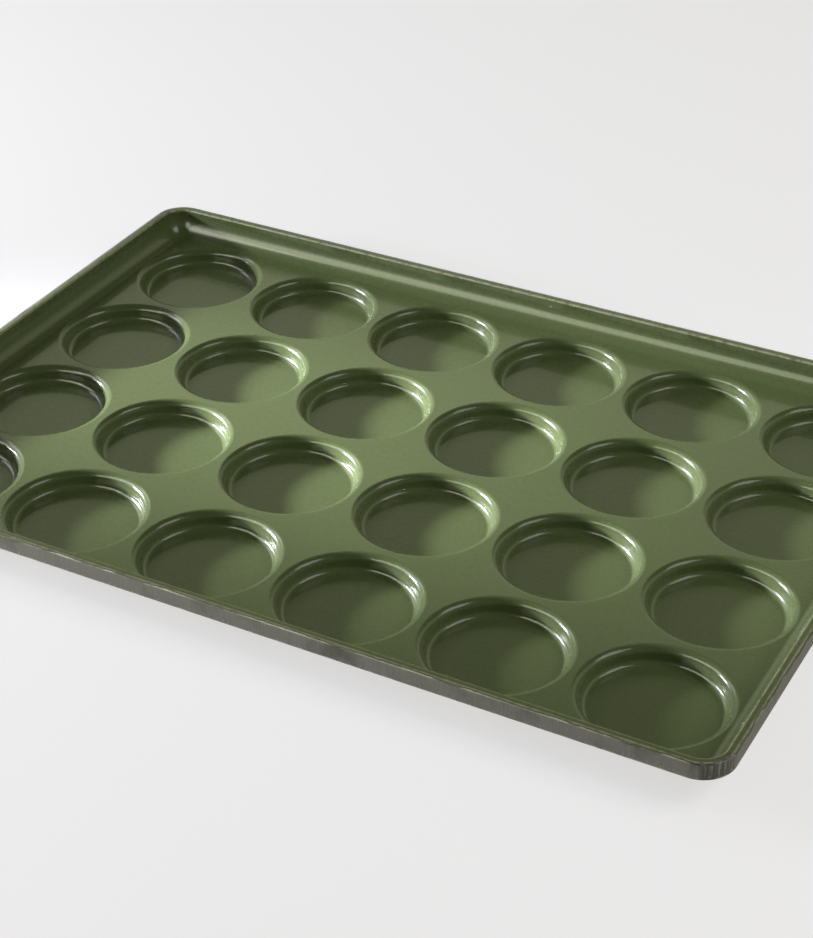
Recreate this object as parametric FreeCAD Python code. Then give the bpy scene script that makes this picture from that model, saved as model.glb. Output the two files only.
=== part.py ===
import FreeCAD, Part
import math
import os

# A baking tray for round buns, drawn and folded from one sheet of steel. Sizes are in
# millimetres and angles in degrees. X runs along the long side, Y to the back and Z up.
# The origin is the middle of the tray, on the plane that the undersides of its cups stand on.

# Sheet
SHEET = 0.8  # thickness of the steel

# Cups
COLUMNS = 6  # along X
ROWS = 4  # along Y
MOUTH_D = 100.0  # where the level deck starts to roll down into a cup
LAND = 4.5  # level strip between neighbouring mouths
CUP_DEPTH = 12.0  # deck to the floor of a cup
CUP_LEAN = 4.0  # a cup's wall leans this far from upright
MOUTH_R = 4.2  # inside radius of the bend at the mouth, on the underside
FLOOR_R = 4.5  # inside radius of the bend at the floor, on the baking side

# Side wall, folded rim and skirt
BORDER = 0.25  # level strip between the outer mouths and the foot of the side wall
FOOT_R_LOW = 8.5  # inside radius where the deck starts to turn up into the side wall
FOOT_R_HIGH = 19.0  # inside radius of the wider bend that follows it, up to the wall
FOOT_TURN = 40.0  # slope of the sheet where the first bend passes into the second
WALL_STRAIGHT = 3.0  # straight part of the side wall, between the foot and the rim's fold
WALL_LEAN = 3.0  # the side wall leans out this far from upright
RIM_WIDTH = 6.3  # across the top of the rim, between the wall's and the skirt's planes
RIM_BEND_R = 0.7  # inside radius of the rim's two folds, on the underside
SKIRT_DROP = 11.3  # top of the rim to the cut edge of the skirt
DECK_CORNER_R = 3.2  # plan radius of the deck's own corners, where the foot starts

# The side wall's section. Its corners, where straight lines through its parts would meet,
# are given as distances outwards from the level deck's edge and heights above the deck.
WALL_SLOPE = 90.0 - WALL_LEAN
LOW_REACH = FOOT_R_LOW * math.tan(math.radians(FOOT_TURN / 2))
HIGH_REACH = FOOT_R_HIGH * math.tan(math.radians((WALL_SLOPE - FOOT_TURN) / 2))
FOLD_REACH = (RIM_BEND_R + SHEET) * math.tan(math.radians(WALL_SLOPE / 2))
FOOT_OUT = LOW_REACH + (LOW_REACH + HIGH_REACH) * math.cos(math.radians(FOOT_TURN))
FOOT_UP = (LOW_REACH + HIGH_REACH) * math.sin(math.radians(FOOT_TURN))
WALL_LENGTH = HIGH_REACH + WALL_STRAIGHT + FOLD_REACH
WALL_OUT = FOOT_OUT + WALL_LENGTH * math.sin(math.radians(WALL_LEAN))
WALL_HEIGHT = FOOT_UP + WALL_LENGTH * math.cos(math.radians(WALL_LEAN))
SIDE_REACH = WALL_OUT + RIM_WIDTH

# Levels, measured on the baking side
FLOOR_Z = SHEET
DECK_Z = FLOOR_Z + CUP_DEPTH
RIM_Z = DECK_Z + WALL_HEIGHT

# Plan
PITCH = MOUTH_D + LAND
DECK_X = (COLUMNS - 1) * PITCH + MOUTH_D + 2 * BORDER
DECK_Y = (ROWS - 1) * PITCH + MOUTH_D + 2 * BORDER
UP = FreeCAD.Vector(0, 0, 1)
ORIGIN = FreeCAD.Vector(0, 0, 0)


def bend_points(before, corner, after, radius):
    """The two ends and the centre of the arc that rounds one corner of a section."""
    come = (corner - before).normalize()
    leave = (after - corner).normalize()
    turn = come.getAngle(leave)
    reach = radius * math.tan(turn / 2)
    start = corner - come * reach
    end = corner + leave * reach
    centre = corner + (leave - come).normalize() * (radius / math.cos(turn / 2))
    return start, end, centre


def under(point, direction):
    """The point one sheet thickness below, where a section runs outwards."""
    side = direction.cross(FreeCAD.Vector(0, -1, 0)).normalize()
    return point + side * SHEET


def arc_edge(start, end, centre, radius):
    """An arc of less than half a turn about a centre."""
    middle = centre + ((start + end) * 0.5 - centre).normalize() * radius
    return Part.Arc(start, middle, end).toShape()


def line_edges(start, end):
    """A straight edge in a list, or an empty list where one bend runs into the next."""
    if start.isEqual(end, 1e-6):
        return []
    return [Part.makeLine(start, end)]


def sheet_section(corners, radii):
    """A strip of even thickness, from its baking side's corners and inside bend radii.

    The corners run outwards from the middle of the tray. A bend whose inside is on the
    underside gets one sheet thickness more on the baking side, and the other way round.
    """
    points = [FreeCAD.Vector(x, 0, z) for x, z in corners]
    top_edges = []
    under_edges = []
    top_last = points[0]
    under_last = under(points[0], points[1] - points[0])
    for index, inside in enumerate(radii, start=1):
        before, corner, after = points[index - 1:index + 2]
        come = corner - before
        leave = after - corner
        turns_up = come.cross(leave).y < 0
        top_radius = inside if turns_up else inside + SHEET
        under_radius = inside + SHEET if turns_up else inside
        start, end, centre = bend_points(before, corner, after, top_radius)
        under_start = under(start, come)
        under_end = under(end, leave)
        top_edges += line_edges(top_last, start)
        top_edges.append(arc_edge(start, end, centre, top_radius))
        under_edges += line_edges(under_last, under_start)
        under_edges.append(arc_edge(under_start, under_end, centre, under_radius))
        top_last = end
        under_last = under_end
    outer_under = under(points[-1], points[-1] - points[-2])
    top_edges += line_edges(top_last, points[-1])
    under_edges += line_edges(under_last, outer_under)
    ends = [
        Part.makeLine(points[-1], outer_under),
        Part.makeLine(points[0], under(points[0], points[1] - points[0])),
    ]
    return Part.Face(Part.Wire(Part.__sortEdges__(top_edges + under_edges + ends)))


def cup_places():
    """Centres of the cups, row by row."""
    places = []
    for row in range(ROWS):
        for column in range(COLUMNS):
            x = (column - (COLUMNS - 1) / 2) * PITCH
            y = (row - (ROWS - 1) / 2) * PITCH
            places.append(FreeCAD.Vector(x, y, 0))
    return places


def cup():
    """One drawn cup, from the middle of its floor to the edge of its mouth."""
    mouth_edge = MOUTH_D / 2
    mouth_turn = math.radians(90.0 - CUP_LEAN)
    mouth_corner = mouth_edge - (MOUTH_R + SHEET) * math.tan(mouth_turn / 2)
    floor_corner = mouth_corner - CUP_DEPTH * math.tan(math.radians(CUP_LEAN))
    corners = [
        (0.0, FLOOR_Z),
        (floor_corner, FLOOR_Z),
        (mouth_corner, DECK_Z),
        (mouth_edge, DECK_Z),
    ]
    return sheet_section(corners, [FLOOR_R, MOUTH_R]).revolve(ORIGIN, UP, 360)


def rounded_plate(length, width, radius, thickness):
    """A level plate with rounded corners, its top face at the deck's level."""
    half_x = length / 2
    half_y = width / 2
    z = DECK_Z - thickness
    flat = Part.makePlane(length, width, FreeCAD.Vector(-half_x, -half_y, z))
    plate = flat.extrude(UP * thickness)
    uprights = [e for e in plate.Edges if e.BoundBox.ZLength > thickness / 2]
    return plate.makeFillet(radius, uprights)


def deck():
    """The level part between the cups, with a round hole for each of them."""
    plate = rounded_plate(DECK_X, DECK_Y, DECK_CORNER_R, SHEET)
    holes = []
    for place in cup_places():
        low = place + UP * (DECK_Z - 2 * SHEET)
        holes.append(Part.makeCylinder(MOUTH_D / 2, 3 * SHEET, low))
    return plate.cut(holes)


def side_section():
    """Foot, side wall, rim and skirt, as distances from the centre of a corner."""
    deck_end = DECK_CORNER_R
    rim_outside = deck_end + SIDE_REACH
    corners = [
        (deck_end, DECK_Z),
        (deck_end + LOW_REACH, DECK_Z),
        (deck_end + FOOT_OUT, DECK_Z + FOOT_UP),
        (deck_end + WALL_OUT, RIM_Z),
        (rim_outside, RIM_Z),
        (rim_outside, RIM_Z - SKIRT_DROP),
    ]
    return sheet_section(corners, [FOOT_R_LOW, FOOT_R_HIGH, RIM_BEND_R, RIM_BEND_R])


def side():
    """The side wall with its rim and skirt: four straight runs and four corners."""
    centre_x = DECK_X / 2 - DECK_CORNER_R
    centre_y = DECK_Y / 2 - DECK_CORNER_R
    centres = [
        FreeCAD.Vector(centre_x, centre_y, 0),
        FreeCAD.Vector(-centre_x, centre_y, 0),
        FreeCAD.Vector(-centre_x, -centre_y, 0),
        FreeCAD.Vector(centre_x, -centre_y, 0),
    ]
    section = side_section()
    pieces = []
    for index, centre in enumerate(centres):
        following = centres[(index + 1) % len(centres)]
        corner = section.revolve(ORIGIN, UP, 90)
        corner.rotate(ORIGIN, UP, 90 * index)
        corner.translate(centre)
        start = section.copy()
        start.rotate(ORIGIN, UP, 90 * (index + 1))
        start.translate(centre)
        pieces.append(corner)
        pieces.append(start.extrude(following - centre))
    return pieces


def tray():
    """The whole tray as one solid of one sheet."""
    one_cup = cup()
    cups = []
    for place in cup_places():
        copy = one_cup.copy()
        copy.translate(place)
        cups.append(copy)
    return deck().multiFuse(side() + cups).removeSplitter()


body = tray()
if len(body.Solids) == 1:
    body = body.Solids[0]
os.makedirs("parts", exist_ok=True)
body.exportStep("parts/tray.step")

box = body.optimalBoundingBox()
print("solids", len(body.Solids), "valid", body.isValid(), "closed", body.isClosed())
print("size %.2f x %.2f x %.2f mm" % (box.XLength, box.YLength, box.ZLength))
print("outer corner radius %.2f mm" % (DECK_CORNER_R + SIDE_REACH))
print("volume %.1f cm3, area %.1f cm2" % (body.Volume / 1000, body.Area / 100))
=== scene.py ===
# %% [markdown]
# # A baking tray for two dozen round buns
#
# The real tray starts as one flat sheet of steel. A press draws the cups into it, folds the
# edge up into a low wall, rolls the top of the wall outwards into a rim and turns the last
# strip down as a skirt. Then the inside gets a green glaze that is baked on, and the outside
# of the skirt stays bare.
#
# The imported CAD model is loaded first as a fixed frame. Everything that follows is drawn in
# metres around it: X along the long side, Y to the back, Z up, and the origin under the
# middle of the tray on the table.

# %% Load the frame
import math

import bmesh
import bpy
from mathutils import Matrix, Vector


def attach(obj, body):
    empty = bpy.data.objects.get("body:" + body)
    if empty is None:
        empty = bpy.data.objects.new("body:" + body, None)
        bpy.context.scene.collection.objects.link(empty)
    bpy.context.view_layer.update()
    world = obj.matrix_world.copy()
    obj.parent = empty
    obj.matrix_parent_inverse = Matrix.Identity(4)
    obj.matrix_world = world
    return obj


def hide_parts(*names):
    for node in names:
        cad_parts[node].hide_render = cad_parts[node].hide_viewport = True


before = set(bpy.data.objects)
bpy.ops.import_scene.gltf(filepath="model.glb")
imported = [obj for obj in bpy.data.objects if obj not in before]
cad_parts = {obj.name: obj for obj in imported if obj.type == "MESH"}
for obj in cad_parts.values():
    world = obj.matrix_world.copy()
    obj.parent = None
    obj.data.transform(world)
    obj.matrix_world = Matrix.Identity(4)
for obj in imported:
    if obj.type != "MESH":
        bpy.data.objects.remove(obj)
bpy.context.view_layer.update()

# %% [markdown]
# ## Sizes
#
# The sheet is the same solid as in the CAD, so its few driving sizes are written once here,
# and every place is worked out from them. A press tool is made the same way: the pitch of
# the cups and the sheet's thickness fix nearly everything else. All bend radii are those
# of the baking side, because that is the side that gets modelled.

# %% Driving sizes
SHEET = 0.0008
COLUMNS = 6
ROWS = 4
MOUTH_D = 0.100
LAND = 0.0045
CUP_DEPTH = 0.012
CUP_LEAN = math.radians(4.0)
MOUTH_R = 0.005
FLOOR_R = 0.0045

BORDER = 0.00025
FOOT_R_LOW = 0.0085
FOOT_R_HIGH = 0.019
FOOT_TURN = math.radians(40.0)
WALL_STRAIGHT = 0.003
WALL_LEAN = math.radians(3.0)
RIM_WIDTH = 0.0063
FOLD_R = 0.0015
SKIRT_DROP = 0.0113
DECK_CORNER_R = 0.0032

PITCH = MOUTH_D + LAND
FLOOR_Z = SHEET
DECK_Z = FLOOR_Z + CUP_DEPTH
WALL_SLOPE = math.radians(90) - WALL_LEAN
LOW_REACH = FOOT_R_LOW * math.tan(FOOT_TURN / 2)
HIGH_REACH = FOOT_R_HIGH * math.tan((WALL_SLOPE - FOOT_TURN) / 2)
FOLD_REACH = FOLD_R * math.tan(WALL_SLOPE / 2)
FOOT_OUT = LOW_REACH + (LOW_REACH + HIGH_REACH) * math.cos(FOOT_TURN)
FOOT_UP = (LOW_REACH + HIGH_REACH) * math.sin(FOOT_TURN)
WALL_LENGTH = HIGH_REACH + WALL_STRAIGHT + FOLD_REACH
WALL_OUT = FOOT_OUT + WALL_LENGTH * math.sin(WALL_LEAN)
RIM_Z = DECK_Z + FOOT_UP + WALL_LENGTH * math.cos(WALL_LEAN)
DECK_X = (COLUMNS - 1) * PITCH + MOUTH_D + 2 * BORDER
DECK_Y = (ROWS - 1) * PITCH + MOUTH_D + 2 * BORDER
print("pitch %.4f, level deck %.4f x %.4f" % (PITCH, DECK_X, DECK_Y))

# %% [markdown]
# ## The camera
#
# The photograph is 813 pixels wide and 938 high, taken from the front right with a long lens
# and tipped down by about a third of a right angle. A long lens keeps the far cups nearly
# as large as the near ones. The camera's turn is built in three steps: tip it down from the
# horizon, roll it by the half degree that the photographer's camera was off level, then
# swing it round to face the tray.

# %% Camera
CAMERA_AT = (0.61746, -1.11094, 0.83636)
CAMERA_TURN = math.radians(28.695)
CAMERA_DIP = math.radians(33.288)
CAMERA_ROLL = math.radians(-0.603)
CAMERA_LENS = 84.01

camera_data = bpy.data.cameras.new("camera")
camera_data.lens = CAMERA_LENS
camera_data.sensor_width = 36.0
camera = bpy.data.objects.new("camera", camera_data)
swing = Matrix.Rotation(CAMERA_TURN, 4, "Z")
tip = Matrix.Rotation(math.radians(90) - CAMERA_DIP, 4, "X")
roll = Matrix.Rotation(CAMERA_ROLL, 4, "Z")
camera.matrix_world = Matrix.Translation(CAMERA_AT) @ swing @ tip @ roll
bpy.context.scene.collection.objects.link(camera)
bpy.context.scene.camera = camera
print("camera at", CAMERA_AT, "lens", camera_data.lens)

# %% [markdown]
# ## A line with bends
#
# Every part of the tray is a sheet section moved through space: turned about an axis for a
# cup or a corner, or pushed along for a side. So the first helper draws a section. It joins
# a few corner points with edges and rounds the inner ones with a vertex bevel, which puts an
# exact arc there when its profile is 0.5. For a bend of radius R that turns by an angle, the
# arc starts R tan(angle / 2) before the corner.

# %% Section helper
def bent_line(bm, corners, bends):
    """Draws a section through (distance, height) corners; bends are (radius, steps) pairs."""
    points = [Vector((x, 0, z)) for x, z in corners]
    ends = [bm.verts.new(point) for point in points]
    for pair in zip(ends, ends[1:]):
        bm.edges.new(pair)
    for index, (radius, steps) in enumerate(bends, start=1):
        come = points[index] - points[index - 1]
        leave = points[index + 1] - points[index]
        bmesh.ops.bevel(
            bm,
            geom=[ends[index]],
            offset=radius * math.tan(come.angle(leave) / 2),
            segments=steps,
            profile=0.5,
            affect="VERTICES",
            material=-1,
        )
    bmesh.ops.remove_doubles(bm, verts=bm.verts, dist=1e-6)
    return ends[0]


def walk(first):
    """The vertices of an open line in order, from one of its ends."""
    chain = [first]
    edge = first.link_edges[0]
    while True:
        last = edge.other_vert(chain[-1])
        chain.append(last)
        following = [e for e in last.link_edges if e is not edge]
        if not following:
            return chain
        edge = following[0]


# %% [markdown]
# ## One cup
#
# A cup is a shallow dish: a flat floor, a wall that leans out a little so that a bun lets
# go, and a rounded mouth. Turning its section about the upright axis gives the dish in one
# step. The first vertex lies on the axis, so the spin's copies of it are merged afterwards.
# The level ring outside the mouth's bend is very narrow. It keeps the smooth shading of the
# bend from running out over the flat deck.

# %% Cup
CUP_STEPS = 72
GUARD = 0.00012  # width of the level ring

mouth_edge = MOUTH_D / 2
mouth_corner = mouth_edge - MOUTH_R * math.tan((math.radians(90) - CUP_LEAN) / 2)
floor_corner = mouth_corner - CUP_DEPTH * math.tan(CUP_LEAN)


def turned_cup(bm):
    """One cup about the Z axis, with a narrow level ring round its mouth."""
    corners = [
        (0.0, FLOOR_Z),
        (floor_corner, FLOOR_Z),
        (mouth_corner, DECK_Z),
        (mouth_edge + GUARD, DECK_Z),
    ]
    bent_line(bm, corners, [(FLOOR_R, 7), (MOUTH_R, 8)])
    bmesh.ops.spin(
        bm,
        geom=bm.verts[:] + bm.edges[:],
        axis=(0, 0, 1),
        cent=(0, 0, 0),
        angle=math.radians(360),
        steps=CUP_STEPS,
        use_merge=True,
    )
    bmesh.ops.remove_doubles(bm, verts=bm.verts, dist=1e-6)


sheet = bmesh.new()
turned_cup(sheet)
print("one cup:", len(sheet.verts), "vertices,", len(sheet.faces), "faces")

# %% [markdown]
# ## All the cups
#
# The press draws every cup with the same tool, so one mesh is duplicated over the grid. Each
# place gets its own copy, and the pattern in the middle is deleted at the end.

# %% Grid of cups
def cup_places():
    """Centres of the cups, row by row."""
    for row in range(ROWS):
        for column in range(COLUMNS):
            x = (column - (COLUMNS - 1) / 2) * PITCH
            y = (row - (ROWS - 1) / 2) * PITCH
            yield Vector((x, y, 0))


pattern = sheet.verts[:] + sheet.edges[:] + sheet.faces[:]
for place in cup_places():
    made = bmesh.ops.duplicate(sheet, geom=pattern)["geom"]
    moved = [item for item in made if isinstance(item, bmesh.types.BMVert)]
    bmesh.ops.translate(sheet, verts=moved, vec=place)
spare = [item for item in pattern if isinstance(item, bmesh.types.BMVert)]
bmesh.ops.delete(sheet, geom=spare, context="VERTS")
print(ROWS * COLUMNS, "cups:", len(sheet.faces), "faces")

# %% [markdown]
# ## Side wall, rim and skirt
#
# Seen from the end of a side, the folded edge is one line: a small bend at the foot that
# passes into a wide one, the wall, a tight fold outwards, the level rim, a tight fold down,
# and the skirt. The small bend comes first because a wide one alone would cut into the
# mouths of the outer cups. The line is turned by a quarter at each corner and pushed along
# each side, and the ring closes on its own start.
#
# A value called from_edge travels with each point. It is the distance over the sheet from
# the skirt's cut edge, and the finishes use it later to know where the rim is.

# %% Folded edge
CORNER_STEPS = 20

centre_x = DECK_X / 2 - DECK_CORNER_R
centre_y = DECK_Y / 2 - DECK_CORNER_R
corner_centres = [
    Vector((centre_x, centre_y, 0)),
    Vector((-centre_x, centre_y, 0)),
    Vector((-centre_x, -centre_y, 0)),
    Vector((centre_x, -centre_y, 0)),
]


def folded_edge_line(bm, from_edge):
    """The section of the folded edge, drawn outwards along X from the origin."""
    wall_top = DECK_CORNER_R + WALL_OUT
    rim_outside = wall_top + RIM_WIDTH
    corners = [
        (DECK_CORNER_R - GUARD, DECK_Z),
        (DECK_CORNER_R + LOW_REACH, DECK_Z),
        (DECK_CORNER_R + FOOT_OUT, DECK_Z + FOOT_UP),
        (wall_top, RIM_Z),
        (rim_outside, RIM_Z),
        (rim_outside, RIM_Z - SKIRT_DROP),
    ]
    bends = [(FOOT_R_LOW, 8), (FOOT_R_HIGH, 12), (FOLD_R, 6), (FOLD_R, 6)]
    inwards = walk(bent_line(bm, corners, bends))[::-1]
    so_far = 0.0
    for before, point in zip(inwards, inwards[1:]):
        so_far += (point.co - before.co).length
        point[from_edge] = so_far
    return so_far


def swept_ring(bm):
    """Turns and pushes the section round the four corners and along the four sides."""
    bmesh.ops.translate(bm, verts=bm.verts, vec=corner_centres[0])
    moving = bm.verts[:] + bm.edges[:]
    for index, centre in enumerate(corner_centres):
        turned = bmesh.ops.spin(
            bm,
            geom=moving,
            axis=(0, 0, 1),
            cent=centre,
            angle=math.radians(90),
            steps=CORNER_STEPS,
        )["geom_last"]
        last_line = [item for item in turned if isinstance(item, bmesh.types.BMEdge)]
        pushed = bmesh.ops.extrude_edge_only(bm, edges=last_line)["geom"]
        verts = [item for item in pushed if isinstance(item, bmesh.types.BMVert)]
        edges = [item for item in pushed if isinstance(item, bmesh.types.BMEdge)]
        moving = verts + [edge for edge in edges if set(verts).issuperset(edge.verts)]
        following = corner_centres[(index + 1) % len(corner_centres)]
        bmesh.ops.translate(bm, verts=verts, vec=following - centre)
    bmesh.ops.remove_doubles(bm, verts=bm.verts, dist=1e-6)


ring = bmesh.new()
ring_from_edge = ring.verts.layers.float.new("from_edge")
girth = folded_edge_line(ring, ring_from_edge)
swept_ring(ring)
print("folded edge: %d faces, %.1f mm over the sheet" % (len(ring.faces), girth * 1000))

# %% [markdown]
# ## The level deck
#
# The flat part between the cups is what the press leaves alone. It has one outer boundary
# and a round hole for each cup, so it is filled from those open edges in one step. The fill
# is flat, so its long triangles can't be seen.

# %% Join and fill
ring_mesh = bpy.data.meshes.new("ring")
ring.to_mesh(ring_mesh)
ring.free()
from_edge = sheet.verts.layers.float.new("from_edge")
for vert in sheet.verts:
    vert[from_edge] = girth
sheet.from_mesh(ring_mesh)
bpy.data.meshes.remove(ring_mesh)


def level_rim(edge):
    """An open edge that lies in the plane of the deck."""
    return edge.is_boundary and all(abs(v.co.z - DECK_Z) < 1e-6 for v in edge.verts)


open_edges = [edge for edge in sheet.edges if level_rim(edge)]
bmesh.ops.triangle_fill(sheet, use_beauty=True, use_dissolve=False, edges=open_edges)
bmesh.ops.remove_doubles(sheet, verts=sheet.verts, dist=1e-6)
bmesh.ops.recalc_face_normals(sheet, faces=sheet.faces)
deck_up = sum(face.normal.z > 0.5 for face in sheet.faces)
if deck_up < len(sheet.faces) / 2:
    bmesh.ops.reverse_faces(sheet, faces=sheet.faces)
for face in sheet.faces:
    face.smooth = True
still_open = sum(edge.is_boundary for edge in sheet.edges)
print("sheet:", len(sheet.faces), "faces,", still_open, "open edges at the skirt's cut edge")

# %% [markdown]
# ## Thickness
#
# The mesh so far is the baking side alone. Solidify gives it the sheet's thickness
# downwards, evenly round the bends, and hands the underside and the cut edge to a second
# material. Weighted normals let the large flat faces win over the small bent ones, so that
# reflections stay straight on the deck and the wall.

# %% Sheet object
tray_mesh = bpy.data.meshes.new("tray_sheet")
sheet.to_mesh(tray_mesh)
sheet.free()
tray = bpy.data.objects.new("tray_sheet", tray_mesh)
bpy.context.scene.collection.objects.link(tray)

thickness = tray.modifiers.new("sheet thickness", "SOLIDIFY")
thickness.thickness = SHEET
thickness.offset = -1.0
thickness.use_even_offset = True
thickness.material_offset = 1
thickness.material_offset_rim = 1
shading = tray.modifiers.new("flat faces first", "WEIGHTED_NORMAL")
shading.weight = 50
shading.keep_sharp = True
print("box", [[round(value, 4) for value in corner] for corner in tray.bound_box][::6])

# %% [markdown]
# ## Node helpers
#
# A material is a small circuit. These helpers keep the wiring short: one adds a node and
# sets its inputs, the others mix two numbers or two colours.

# %% Node helpers
def node(tree, kind, **inputs):
    """Adds a shader node and sets its inputs; an underscore in a name stands for a space."""
    made = tree.nodes.new("ShaderNode" + kind)
    for name, value in inputs.items():
        socket = made.inputs[name.replace("_", " ")]
        if isinstance(value, bpy.types.NodeSocket):
            tree.links.new(value, socket)
        else:
            socket.default_value = value
    return made


def noise(tree, place, scale, detail=2.0, rough=0.5):
    """A cloudy value from 0 to 1 at a scale in waves per metre."""
    made = node(tree, "TexNoise", Vector=place, Scale=scale, Detail=detail, Roughness=rough)
    return made.outputs["Fac"]


def stretch(tree, value, low, high, out_low=0.0, out_high=1.0):
    """Spreads the part of a value between low and high over a new range."""
    made = node(tree, "MapRange", Value=value)
    made.inputs["From Min"].default_value = low
    made.inputs["From Max"].default_value = high
    made.inputs["To Min"].default_value = out_low
    made.inputs["To Max"].default_value = out_high
    return made.outputs["Result"]


def mixed(tree, share, first, second):
    """Colour first where share is 0, second where it is 1."""
    made = tree.nodes.new("ShaderNodeMix")
    made.data_type = "RGBA"
    sockets = [s for s in made.inputs if s.enabled]
    for socket, value in zip(sockets, (share, first, second)):
        if isinstance(value, bpy.types.NodeSocket):
            tree.links.new(value, socket)
        else:
            socket.default_value = value
    return next(s for s in made.outputs if s.enabled)


def sums(tree, operation, first, second=0.0):
    """One step of arithmetic between two values."""
    made = tree.nodes.new("ShaderNodeMath")
    made.operation = operation
    for socket, value in zip(made.inputs, (first, second)):
        if isinstance(value, bpy.types.NodeSocket):
            tree.links.new(value, socket)
        else:
            socket.default_value = value
    return made.outputs["Value"]


def new_material(name):
    """An empty node material and its tree."""
    made = bpy.data.materials.new(name)
    made.use_nodes = True
    made.node_tree.nodes.clear()
    return made, made.node_tree


# %% [markdown]
# ## Green glaze
#
# The baking side has an olive green glaze, sprayed on and baked: glossy, with a very faint
# orange peel and a slow change of tone. A coat layer over a duller base gives it two kinds
# of shine, a sharp thin one and a soft wide one. Racks and other trays rub it along the two
# folds of the rim, and the folds catch the light, so each gets a pale, broken line that is
# partly rubbed glaze and partly a painted highlight. Where a fold lies is known from the
# distance over the sheet from the cut edge, because a bend uses up a known length of it.

# %% Green glaze
FLAT_SKIRT = SKIRT_DROP - FOLD_R
OUTER_FOLD = FLAT_SKIRT + FOLD_R * math.radians(90) / 2
RIM_START = FLAT_SKIRT + FOLD_R * math.radians(90)
RIM_END = RIM_START + RIM_WIDTH - FOLD_R - FOLD_REACH
INNER_FOLD = RIM_END + FOLD_R * WALL_SLOPE / 2

GLAZE_LIGHT = (0.126, 0.164, 0.060, 1)
GLAZE_DARK = (0.114, 0.149, 0.053, 1)
# pale line on the folds: partly rubbed glaze, partly a painted highlight
GLAZE_RUBBED_AND_HIGHLIT = (0.48, 0.49, 0.29, 1)


def band(tree, value, middle, half_width):
    """1 where a value is at the middle, fading to 0 at the half width on both sides."""
    apart = sums(tree, "ABSOLUTE", sums(tree, "SUBTRACT", value, middle))
    return stretch(tree, apart, 0.0, half_width, 1.0, 0.0)


def glaze(tree, place, way):
    """The baked green coating, with a pale line along each fold of the rim: rubbed glaze and a
    painted highlight.
    """
    tone = noise(tree, place, 5.0, 3.0)
    grain = noise(tree, place, 260.0, 3.0)
    green = mixed(tree, stretch(tree, tone, 0.3, 0.7), GLAZE_DARK, GLAZE_LIGHT)
    broken = stretch(tree, noise(tree, place, 190.0, 4.0, 0.7), 0.30, 0.52)
    # pale lines at the two folds: partly rubbed glaze, partly a painted highlight
    inner_line = band(tree, way, INNER_FOLD, 0.0016)
    outer_line = band(tree, way, RIM_START, 0.0012)
    rubbed = sums(tree, "MULTIPLY", sums(tree, "MAXIMUM", inner_line, outer_line), broken)
    colour = mixed(tree, rubbed, green, GLAZE_RUBBED_AND_HIGHLIT)
    peel = node(tree, "Bump", Height=noise(tree, place, 500.0, 1.0), Strength=0.06, Distance=0.00001)
    made = node(
        tree,
        "BsdfPrincipled",
        Base_Color=colour,
        Roughness=stretch(tree, grain, 0.3, 0.7, 0.27, 0.28),
        Specular_IOR_Level=0.27,
        Coat_Weight=0.5,
        Coat_Roughness=0.05,
        Normal=peel.outputs["Normal"],
    )
    return made.outputs["BSDF"]


print("folds at %.1f and %.1f mm from the cut edge" % (OUTER_FOLD * 1000, INNER_FOLD * 1000))

# %% [markdown]
# ## Bare steel
#
# The skirt and the underside are steel with a thin aluminium skin, gone grey and brown in
# the oven. The press leaves fine upright lines on the skirt, and so do the racks. Its cut
# edge is rubbed bright in places, and small bright nicks lie just above it. The corners get
# the most knocks, so the lines are stronger and the stains darker there.

# %% Bare steel
STEEL_DARK = (0.315, 0.307, 0.252, 1)
STEEL_LIGHT = (0.43, 0.42, 0.345, 1)
STEEL_STAINED = (0.075, 0.062, 0.047, 1)
STEEL_SCRATCHED = (0.42, 0.40, 0.36, 1)
STEEL_RUBBED = (0.66, 0.65, 0.60, 1)
DRAW_LINES = (900.0, 900.0, 40.0)  # close together across the skirt, long up it


def near_end(tree, value, half):
    """0 well inside a side of the deck, rising to 1 just past either of its ends."""
    return stretch(tree, sums(tree, "ABSOLUTE", value), half - 0.012, half + 0.008)


def near_corners(tree, place):
    """1 at the four corners of the tray, 0 along the sides."""
    parts = node(tree, "SeparateXYZ", Vector=place)
    along = near_end(tree, parts.outputs["X"], DECK_X / 2)
    across = near_end(tree, parts.outputs["Y"], DECK_Y / 2)
    return sums(tree, "MULTIPLY", along, across)


def bare_steel(tree, place, way, corners):
    """Oven-darkened steel with upright draw lines, stains and a rubbed cut edge."""
    lines_at = node(tree, "Mapping", Vector=place, Scale=DRAW_LINES)
    lines = noise(tree, lines_at.outputs["Vector"], 1.0, 4.0, 0.6)
    fine = mixed(tree, stretch(tree, lines, 0.3, 0.7), STEEL_DARK, STEEL_LIGHT)

    patches = noise(tree, place, 22.0, 4.0, 0.6)
    stains = sums(tree, "ADD", patches, sums(tree, "MULTIPLY", corners, 0.32))
    brown = mixed(tree, stretch(tree, stains, 0.52, 0.72, 0.0, 0.65), fine, STEEL_STAINED)
    scratches = sums(tree, "MULTIPLY", stretch(tree, lines, 0.54, 0.64), corners)
    scratched = mixed(tree, scratches, brown, STEEL_SCRATCHED)

    worn_places = stretch(tree, noise(tree, place, 160.0, 3.0), 0.47, 0.57)
    worn = sums(tree, "MULTIPLY", band(tree, way, 0.0002, 0.0009), worn_places)
    nick_places = stretch(tree, noise(tree, place, 620.0, 2.0), 0.61, 0.67)
    nicks = sums(tree, "MULTIPLY", band(tree, way, 0.0022, 0.0024), nick_places)
    colour = mixed(tree, sums(tree, "MAXIMUM", worn, nicks), scratched, STEEL_RUBBED)
    draw = node(tree, "Bump", Height=lines, Strength=0.12, Distance=0.0001)
    made = node(
        tree,
        "BsdfPrincipled",
        Base_Color=colour,
        Metallic=0.3,
        Roughness=stretch(tree, patches, 0.3, 0.7, 0.42, 0.55),
        Normal=draw.outputs["Normal"],
    )
    return made.outputs["BSDF"]


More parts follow.
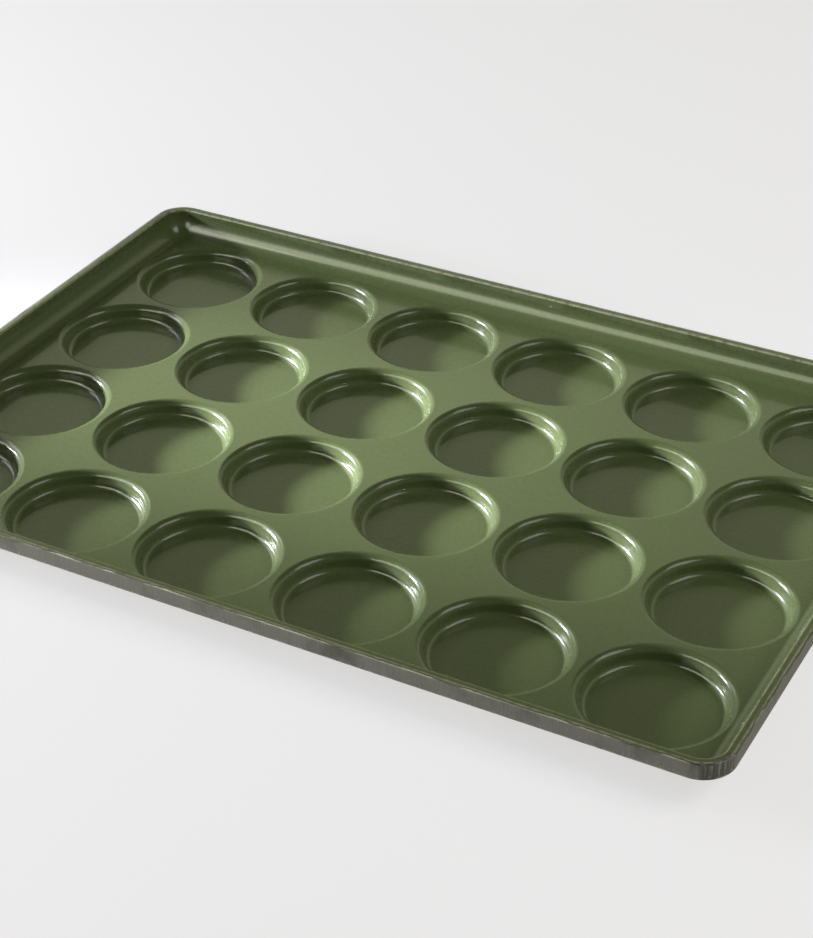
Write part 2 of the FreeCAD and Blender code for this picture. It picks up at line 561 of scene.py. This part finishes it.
# %% [markdown]
# ## Where glaze and steel meet
#
# The spray reaches a little over the outer fold and ends there in a wavy line. On the left
# side the racks have rubbed half of the rim bare. At the corners the glaze is chipped. A
# thin film of it that burnt in the oven leaves a dark seam along the line. Each of these
# only moves the line or lies along it, so one sum of distances decides what is glazed.

# %% Finish of the sheet
sheet_finish, tree = new_material("glazed_steel")
place = node(tree, "TexCoord").outputs["Object"]
edge_way = node(tree, "Attribute")
edge_way.attribute_name = "from_edge"
way = edge_way.outputs["Fac"]
corners = near_corners(tree, place)
sideways = node(tree, "SeparateXYZ", Vector=place).outputs["X"]
left_rim = stretch(tree, sideways, -DECK_X / 2 - 0.012, -DECK_X / 2 - 0.017, 0.0, 0.0030)

wavy = stretch(tree, noise(tree, place, 45.0, 4.0, 0.65), 0.25, 0.75, -0.0013, 0.0013)
chips = stretch(tree, noise(tree, place, 240.0, 2.0), 0.52, 0.66, 0.0, 0.0030)
shift = sums(tree, "ADD", left_rim, sums(tree, "MULTIPLY", chips, corners))
glaze_edge = sums(tree, "SUBTRACT", sums(tree, "ADD", way, wavy), shift)
coated = stretch(tree, glaze_edge, OUTER_FOLD - 0.0003, OUTER_FOLD + 0.0003)

blend = node(tree, "MixShader", Fac=coated)
tree.links.new(bare_steel(tree, place, way, corners), blend.inputs[1])
tree.links.new(glaze(tree, place, way), blend.inputs[2])
burnt = node(tree, "BsdfPrincipled", Base_Color=(0.022, 0.021, 0.014, 1), Roughness=0.5)
seam = sums(tree, "MULTIPLY", band(tree, glaze_edge, OUTER_FOLD + 0.0003, 0.0007), 0.75)
surface = node(tree, "MixShader", Fac=seam)
tree.links.new(blend.outputs["Shader"], surface.inputs[1])
tree.links.new(burnt.outputs["BSDF"], surface.inputs[2])
node(tree, "OutputMaterial", Surface=surface.outputs["Shader"])
tray_mesh.materials.append(sheet_finish)

underside_finish, tree = new_material("bare_underside")
place = node(tree, "TexCoord").outputs["Object"]
edge_way = node(tree, "Attribute")
edge_way.attribute_name = "from_edge"
underside = bare_steel(tree, place, edge_way.outputs["Fac"], near_corners(tree, place))
node(tree, "OutputMaterial", Surface=underside)
tray_mesh.materials.append(underside_finish)
print("materials", [m.name for m in tray_mesh.materials])

# %% Fit the sheet into the frame
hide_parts("tray")
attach(tray, "root")

# %% [markdown]
# ## The table
#
# The tray stands on a smooth white table top. It lies a little under the cups, so that the
# two never share a plane. The camera sees it as a darker board with some light of its own,
# which gives a nearly even white that still takes the tray's shadow. All other rays meet
# the plain white board.

# %% Table
TABLE_SIZE = 8.0
TABLE_DROP = 0.0002

table_bm = bmesh.new()
bmesh.ops.create_grid(table_bm, x_segments=1, y_segments=1, size=TABLE_SIZE / 2)
bmesh.ops.translate(table_bm, verts=table_bm.verts, vec=(0, 0, -TABLE_DROP))
table_mesh = bpy.data.meshes.new("table")
table_bm.to_mesh(table_mesh)
table_bm.free()
table = bpy.data.objects.new("table", table_mesh)
bpy.context.scene.collection.objects.link(table)
table_finish, tree = new_material("white_table")
place = node(tree, "TexCoord").outputs["Object"]
white = mixed(tree, noise(tree, place, 2.0), (0.41, 0.41, 0.41, 1), (0.43, 0.43, 0.43, 1))
laminate = node(tree, "BsdfPrincipled", Base_Color=white, Roughness=0.6)
lift = node(tree, "Emission", Color=(1.0, 0.99, 0.985, 1), Strength=0.64)
shown = node(tree, "AddShader")
tree.links.new(laminate.outputs["BSDF"], shown.inputs[0])
tree.links.new(lift.outputs["Emission"], shown.inputs[1])
real = node(tree, "BsdfPrincipled", Base_Color=(0.82, 0.82, 0.83, 1), Roughness=0.6)
seen = node(tree, "LightPath")
choice = node(tree, "MixShader", Fac=seen.outputs["Is Camera Ray"])
tree.links.new(real.outputs["BSDF"], choice.inputs[1])
tree.links.new(shown.outputs["Shader"], choice.inputs[2])
node(tree, "OutputMaterial", Surface=choice.outputs["Shader"])
table_mesh.materials.append(table_finish)
print("table", TABLE_SIZE, "m wide")

# %% [markdown]
# ## Light
#
# Softboxes light the tray, as in a studio. A narrow low one far to the left draws the white
# glints and helps with the long shadows in the cups. Three others fill: one behind it on
# the left, one high on the right and a weak one in front. Two more, in front and on the
# left, are there for the gloss alone, as white cards are in a studio. They show as thin
# bright lines along every bend and leave the shaded sides dark, because they are hidden
# from dull surfaces.

# %% Lamps
def softbox(name, azimuth, height, distance, width, depth, power, colour=(1, 1, 1)):
    """A rectangular lamp that faces the tray from a compass angle and a height, in degrees."""
    lamp_data = bpy.data.lights.new(name, "AREA")
    lamp_data.shape = "RECTANGLE"
    lamp_data.size = width
    lamp_data.size_y = depth
    lamp_data.energy = power
    lamp_data.color = colour
    lamp = bpy.data.objects.new(name, lamp_data)
    lamp.visible_camera = False
    around = Matrix.Rotation(math.radians(azimuth + 90), 4, "Z")
    up = Matrix.Rotation(math.radians(90 - height), 4, "X")
    lamp.matrix_world = around @ up @ Matrix.Translation((0, 0, distance))
    bpy.context.scene.collection.objects.link(lamp)
    return lamp


DAYLIGHT = (0.97, 0.98, 1.14)

lamps = [
    softbox("key_strip", -166, 12.3, 1.55, 0.50, 0.08, 17, DAYLIGHT),
    softbox("left_window", 165, 34, 1.8, 0.8, 0.35, 2.8, (0.98, 0.99, 1.05)),
    softbox("right_box", 6, 45, 1.9, 1.1, 0.84, 9.5, (1.0, 0.99, 0.95)),
    softbox("front_box", -124, 18, 1.9, 0.60, 0.45, 1.0),
    # in the gloss alone
    softbox("front_gloss", -118, 28, 1.8, 1.3, 0.64, 13.0, (0.98, 1.0, 0.76)),
    softbox("left_gloss", -153, 31, 1.8, 1.0, 0.50, 7.0, (1.0, 1.0, 0.9)),
]
for lamp in lamps[-2:]:
    lamp.visible_diffuse = False
print("lamps", [lamp.name for lamp in lamps])

# %% [markdown]
# ## A pool of light
#
# The middle and the left of the tray are lighter than its ends. A spot lamp beside the low
# softbox makes that pool and most of the cups' shadows. Its cone fades out from the middle
# to the edge, and scaling the lamp sideways turns the round pool into a wide oval, as a
# slit in front of a studio lamp does.

# %% Pool of light
POOL_AT = Vector((-1.509, -0.212, 0.332))
POOL_AIM = Vector((-0.045, 0.018, 0.0))
POOL_SHAPE = 2.8  # times as wide as high

pool_data = bpy.data.lights.new("key_pool", "SPOT")
pool_data.energy = 480
pool_data.color = DAYLIGHT
pool_data.spot_size = math.radians(6.3)
pool_data.spot_blend = 1.0
pool_data.shadow_soft_size = 0.085
pool = bpy.data.objects.new("key_pool", pool_data)
pool_turn = (POOL_AIM - POOL_AT).to_track_quat("-Z", "Y").to_matrix().to_4x4()
wide = Matrix.Diagonal((POOL_SHAPE, 1.0, 1.0, 1.0))
pool.matrix_world = Matrix.Translation(POOL_AT) @ pool_turn @ wide
pool.visible_camera = False
bpy.context.scene.collection.objects.link(pool)
print("pool of light, %.2f m from the tray" % (POOL_AIM - POOL_AT).length)

# %% [markdown]
# ## Surroundings
#
# The glossy floors of the cups reflect the room behind the tray. It is a pale band there,
# darker low down, toward the front and overhead, so the floors shine softly and the walls
# stay deep green. To everything that isn't glossy the room gives hardly any light, which
# keeps the shadows in the cups. The camera sees plain white instead.

# %% World
world = bpy.data.worlds.new("studio")
world.use_nodes = True
bpy.context.scene.world = world
tree = world.node_tree
tree.nodes.clear()
# A world's Generated coordinate is simply the direction that a ray leaves in.
direction = node(tree, "TexCoord").outputs["Generated"]
toward = node(tree, "SeparateXYZ", Vector=direction)
low = stretch(tree, toward.outputs["Z"], 0.51, 0.67, 1.0, 0.0)
above = stretch(tree, toward.outputs["Z"], 0.20, 0.36, 0.15, 1.0)
behind = stretch(tree, toward.outputs["Y"], -0.1, 0.5, 0.3, 1.0)
pale = sums(tree, "MULTIPLY", sums(tree, "MULTIPLY", low, above), behind)
reflected = mixed(tree, pale, (0.04, 0.04, 0.04, 1), (0.73, 0.76, 0.53, 1))
seen = node(tree, "LightPath")
unlit = mixed(tree, seen.outputs["Is Glossy Ray"], (0.06, 0.06, 0.059, 1), reflected)
room = mixed(tree, seen.outputs["Is Camera Ray"], unlit, (1, 1, 1, 1))
room_light = node(tree, "Background", Color=room, Strength=1.0)
node(tree, "OutputWorld", Surface=room_light.outputs["Background"])
print("world ready")

# %% Colour management
bpy.context.scene.view_settings.view_transform = "Standard"
